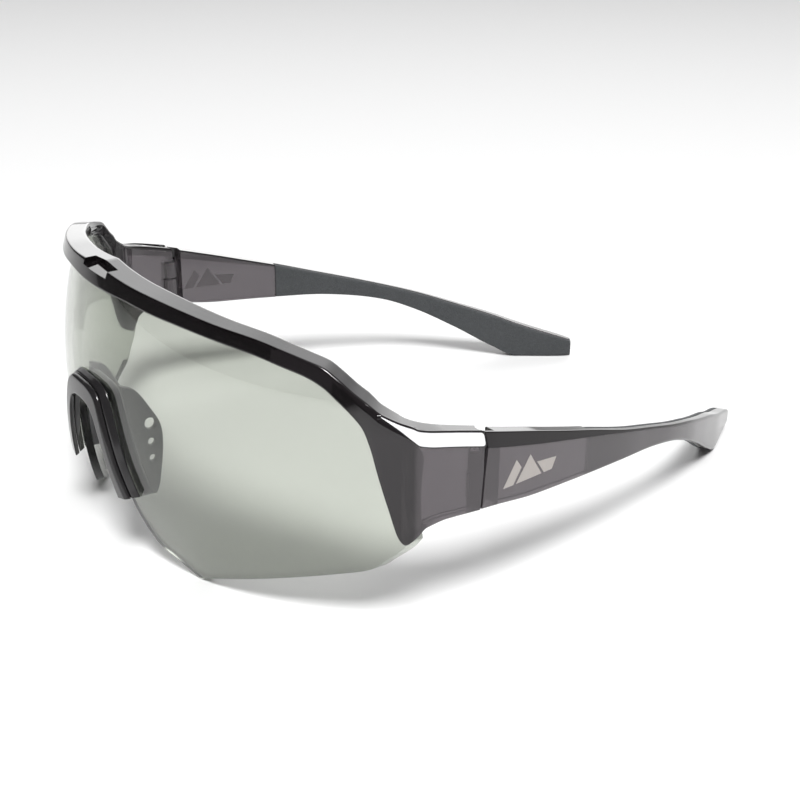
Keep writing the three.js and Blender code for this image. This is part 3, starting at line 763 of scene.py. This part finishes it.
def nose_wing(name, side):
    """Flat wing with three round holes, drawn from the side, softened all round and splayed."""
    hole_sides = 28
    curve = bpy.data.curves.new(name, "CURVE")
    curve.dimensions = "2D"
    curve.fill_mode = "BOTH"
    soft = 0.0004
    curve.extrude = WING_THICK / 2 - soft
    curve.bevel_depth = soft
    curve.bevel_resolution = 3
    curve.offset = -soft
    outlines = [[tuple(p * MM) for p in spline(WING, 90)[:-1]]]
    for y, z, r in WING_HOLES:
        outlines.append([((y + r * math.cos(a)) * MM, (z + r * math.sin(a)) * MM)
                         for a in (2 * math.pi * i / hole_sides for i in range(hole_sides))])
    for outline in outlines:
        path = curve.splines.new("POLY")
        path.points.add(len(outline) - 1)
        for point, (y, z) in zip(path.points, outline):
            point.co = (y, z, 0, 1)
        path.use_cyclic_u = True
    flat = bpy.data.objects.new("outline", curve)
    scene.collection.objects.link(flat)
    data = bpy.data.meshes.new_from_object(flat.evaluated_get(bpy.context.evaluated_depsgraph_get()))
    bpy.data.objects.remove(flat)
    for vertex in data.vertices:
        y, z, depth = vertex.co
        x = WING_FOOT - WING_SPLAY * z + WING_THICK / 2 + depth
        vertex.co = (side * x, y - FOOTPRINT_SHIFT, z)
    piece = bpy.data.objects.new(name, data)
    scene.collection.objects.link(piece)
    finish_faces(piece)
    return piece


for side, word in ((1, "left"), (-1, "right")):
    settle(nose_wing(f"nose_pad_{word}", side), soft_smoke, "front", "nose_rubber", f"nose_wing_{word}")


# --- Arms -------------------------------------------------------------------------------------
# Smoke plastic arms, moulded with the hinge tongue, bent in towards the head, with a sloped facet
# that fades out along the upper edge and plain peaks printed on the outer face behind the hinge.

# An arm, in millimetres: distance behind the hinge, x, lower edge, ridge, thickness, facet height.
arm_at = smooth_table([
    (-5, 73, 25.5, 41.7, 4.5, 3), (-1, 72.85, 25.3, 40.7, 4.4, 3), (10, 71.6, 24, 37.7, 4.1, 2.6),
    (20, 70.1, 23.4, 34.8, 3.8, 1.9), (28, 68.7, 22.9, 32.5, 3.6, 1.4),
    (40, 66.3, 22.1, 28.8, 3.4, 0.6), (50, 63.5, 20.8, 25.9, 3.3, 0.5),
    (60, 60.4, 18.6, 22.9, 3.3, 0.5), (70, 56.3, 14.6, 19.8, 3.5, 0.5), (80, 51, 9.1, 16.2, 3.8, 0.5),
    (90, 45.2, 2.9, 12.5, 4.2, 0.5), (96, 41.6, 0, 9.9, 4.4, 0.5), (103, 37, 0, 7.2, 4.4, 0.5),
    (108, 33.7, 0, 5.3, 4.2, 0.5), (110, 32.4, 0, 4.4, 3.6, 0.5)])
FRONT_END, GRIP_FROM, TOE = -5, 28.0, 110.0
GRIP_THICK, GRIP_GAP = 1.4, 0.1
RING_STEP = 1.5


def arm_frame(y):
    """Point maker, lower edge, ridge, thickness and facet of the arm at a distance behind the hinge."""
    x, low, ridge, thick, facet = arm_at(y)
    behind, ahead = min(y + 0.5, TOE), max(y - 0.5, FRONT_END)
    run = Vector((arm_at(behind)[0] - arm_at(ahead)[0], behind - ahead)).normalized()

    def point(side, n, z):
        return Vector((side * (x + n * run.y) * MM, (y - n * run.x) * MM - FOOTPRINT_SHIFT, z * MM))
    return point, low, ridge, thick, facet


def arm_ring(side, y, cut_back):
    point, low, ridge, thick, facet = arm_frame(y)
    inner = cut_back - thick
    hem = 0.45 + 0.9 * min(max((y - 40) / 30, 0), 1)
    section = rounded([(0, low, hem), (0, ridge - facet, 0.3), (-0.35 * facet - 0.15, ridge, 0.25),
                       (inner, ridge, 0.4), (inner, low, 0.4)], 5, 0.1)
    return [point(side, p[0], p[1]) for p in section]


def spaced(low, high, step):
    count = max(1, round((high - low) / step))
    return [low + (high - low) * i / count for i in range(count + 1)]


def make_arm(side, word):
    seam, start = GRIP_FROM - 0.15, HINGE_GAP / 2 / MM + 0.3
    rings = ([arm_ring(side, y, 0) for y in spaced(start, seam, RING_STEP)]
             + [arm_ring(side, y, GRIP_THICK + GRIP_GAP) for y in spaced(seam, TOE - 0.6, RING_STEP)]
             + [arm_ring(side, TOE, GRIP_THICK + GRIP_GAP)])
    return loft(f"arm_{word}_shell", rings)


def on_arm_facet(at):
    _, _, ridge, _, facet = arm_at((at.y + FOOTPRINT_SHIFT) / MM)
    return at.z / MM > ridge - facet


def make_skin(side, word):
    """Thin skin that carries the arm's outer face forward over the hinge to the slanting gap."""
    thin, thick = -0.75, -2
    rings = []
    for y in spaced(-4.4, 0.6, 0.5):
        point, low, ridge, _, facet = arm_frame(y)
        section = rounded([(0, low, 0.35), (0, ridge - facet, 0.3), (-0.35 * facet - 0.15, ridge, 0.25),
                           (thick, ridge, 0.2), (thick, SKIN_STEP + 0.2, 0.1),
                           (thin, SKIN_STEP + 0.1, 0.1), (thin, low, 0.2)], 4, 0.1)
        rings.append([point(side, p[0], p[1]) for p in section])
    skin = loft(f"arm_{word}_skin", rings)
    ahead = [(y + HALF_GAP, z) for y, z in GAP_LINE] + [(-9, SKIN_TOP), (-9, SKIN_BOTTOM)]
    cut(skin, side_prism("ahead", ahead, side * 0.06, side * 0.09))
    return skin


def make_tongue(side, word):
    """Tongue of the hinge, a round knuckle that turns between the two of the endpiece."""
    low, high, bore = KNUCKLES["low_top"] + FIT, KNUCKLES["high_low"] - FIT, 0.0012
    return barrel(f"arm_{word}_tongue", side * HINGE_X, low, high, KNUCKLE_R - FIT, bore)


# A plain mark of three parts with a peak in the middle, y and z in millimetres.
PRINTED_MARK = [[(1.8, 28.2), (5.2, 33.4), (6.6, 31.4), (4.5, 28.2)],
                [(5.3, 28.2), (9, 33.4), (12.4, 28.2)],
                [(13.1, 28.2), (11, 31.2), (16.6, 30.6), (15.4, 28.2)]]
print_ink, _ = finish("print_ink", (0.40, 0.37, 0.35), (0.36, 0.335, 0.315), roughness=0.35, wear=0.1,
                      bump=0.05, grain=400)


def printed(name, side, outline):
    """Print that stands a twentieth of a millimetre off the arm's outer face."""
    ink = 0.05
    return loft(name, [[arm_frame(y)[0](side, n, z) for y, z in outline] for n in (-ink, ink)])


for side, word in ((1, "left"), (-1, "right")):
    arm = make_arm(side, word)
    settle(arm, smoke, f"{word}_arm", "smoke_plastic", f"arm_{word}")
    # Painted shade on the sloped facet of the arm and of its skin.
    paint_facet_shade(arm, on_arm_facet)
    skin = make_skin(side, word)
    settle(skin, smoke, f"{word}_arm", "smoke_plastic")
    paint_facet_shade(skin, on_arm_facet)
    settle(make_tongue(side, word), smoke, f"{word}_arm", "smoke_plastic")
    for number, outline in enumerate(PRINTED_MARK, 1):
        mark = printed(f"arm_{word}_mark_{number}", side, outline)
        settle(mark, print_ink, f"{word}_arm", "smoke_plastic")


# --- Grips ------------------------------------------------------------------------------------
# Soft rubber moulded over the inner face of each arm, from a straight seam behind the hinge to the
# tip. Its face toward the head is stippled with fine domes.

def grip_ring(side, y):
    point, low, ridge, thick, _ = arm_frame(y)
    section = rounded([(GRIP_THICK - thick, low + 0.05, 0.3), (GRIP_THICK - thick, ridge - 0.05, 0.3),
                       (-thick, ridge - 0.15, 0.6), (-thick, low + 0.05, 0.5)], 5, 0.1)
    return [point(side, p[0], p[1]) for p in section]


SPECKLE_FACING = 0.85  # cosine of the widest angle between a face and the way to the head
SPECKLE_DENSITY = 6e6  # most domes on a square metre, which the spacing thins out
SPECKLE_SIZES = {"Speckle Radius": 0.00014, "Spacing": 0.00055, "Seed": 7}


def speckle_tree():
    """Small domes standing on the side of a grip that is turned toward the head."""
    tree = bpy.data.node_groups.new("grip_speckles", "GeometryNodeTree")
    keys = {}
    for name, kind, way in (("Grip", "Geometry", "INPUT"), ("Speckle Radius", "Float", "INPUT"),
                            ("Spacing", "Float", "INPUT"), ("Inward", "Float", "INPUT"),
                            ("Seed", "Int", "INPUT"), ("Rubber", "Material", "INPUT"),
                            ("Speckles", "Geometry", "OUTPUT")):
        socket = tree.interface.new_socket(name, in_out=way, socket_type=f"NodeSocket{kind}")
        keys[name] = socket.identifier
    sizes = tree.nodes.new("NodeGroupInput")
    result = tree.nodes.new("NodeGroupOutput")
    normal = tree.nodes.new("GeometryNodeInputNormal")
    split = tree.nodes.new("ShaderNodeSeparateXYZ")
    turned = tree.nodes.new("ShaderNodeMath")
    facing = tree.nodes.new("ShaderNodeMath")
    scatter = tree.nodes.new("GeometryNodeDistributePointsOnFaces")
    dome = tree.nodes.new("GeometryNodeMeshIcoSphere")
    stand = tree.nodes.new("GeometryNodeInstanceOnPoints")
    whole = tree.nodes.new("GeometryNodeRealizeInstances")
    paint = tree.nodes.new("GeometryNodeSetMaterial")
    turned.operation = "MULTIPLY"
    facing.operation = "GREATER_THAN"
    facing.inputs[1].default_value = SPECKLE_FACING
    scatter.distribute_method = "POISSON"
    scatter.inputs["Density Max"].default_value = SPECKLE_DENSITY
    dome.inputs["Subdivisions"].default_value = 1
    for start, end in ((normal.outputs["Normal"], split.inputs[0]),
                       (split.outputs["X"], turned.inputs[0]),
                       (sizes.outputs["Inward"], turned.inputs[1]),
                       (turned.outputs[0], facing.inputs[0]),
                       (facing.outputs[0], scatter.inputs["Selection"]),
                       (sizes.outputs["Grip"], scatter.inputs["Mesh"]),
                       (sizes.outputs["Spacing"], scatter.inputs["Distance Min"]),
                       (sizes.outputs["Seed"], scatter.inputs["Seed"]),
                       (sizes.outputs["Speckle Radius"], dome.inputs["Radius"]),
                       (scatter.outputs["Points"], stand.inputs["Points"]),
                       (dome.outputs["Mesh"], stand.inputs["Instance"]),
                       (stand.outputs["Instances"], whole.inputs["Geometry"]),
                       (whole.outputs["Geometry"], paint.inputs["Geometry"]),
                       (sizes.outputs["Rubber"], paint.inputs["Material"]),
                       (paint.outputs["Geometry"], result.inputs["Speckles"])):
        tree.links.new(start, end)
    return tree, keys


def scatter_speckles(grip, name, side):
    """Mesh of the domes on one grip, made by the node tree on a copy of the grip."""
    host = bpy.data.objects.new(name + "_host", grip.data.copy())
    scene.collection.objects.link(host)
    scattered = host.modifiers.new("speckles", "NODES")
    scattered.node_group = speckled
    for key, value in {**SPECKLE_SIZES, "Inward": -float(side), "Rubber": rubber}.items():
        scattered[speckle_keys[key]] = value
    data = bpy.data.meshes.new_from_object(host.evaluated_get(bpy.context.evaluated_depsgraph_get()))
    bpy.data.objects.remove(host)
    speckles = bpy.data.objects.new(name, data)
    scene.collection.objects.link(speckles)
    return speckles


speckled, speckle_keys = speckle_tree()
rubber, _ = finish("speckled_rubber", (0.068, 0.073, 0.077), (0.028, 0.03, 0.032), roughness=0.62,
                   wear=0.2, bump=0.5, grain=1500)
for side, word in ((1, "left"), (-1, "right")):
    grip_from = GRIP_FROM + GRIP_GAP / 2
    grip = loft(f"arm_{word}_grip", [grip_ring(side, y) for y in spaced(grip_from, TOE, RING_STEP)])
    speckles = scatter_speckles(grip, f"arm_{word}_grip_speckles", side)
    settle(grip, rubber, f"{word}_arm", "grip_rubber", f"grip_{word}")
    settle(speckles, rubber, f"{word}_arm", "grip_rubber")
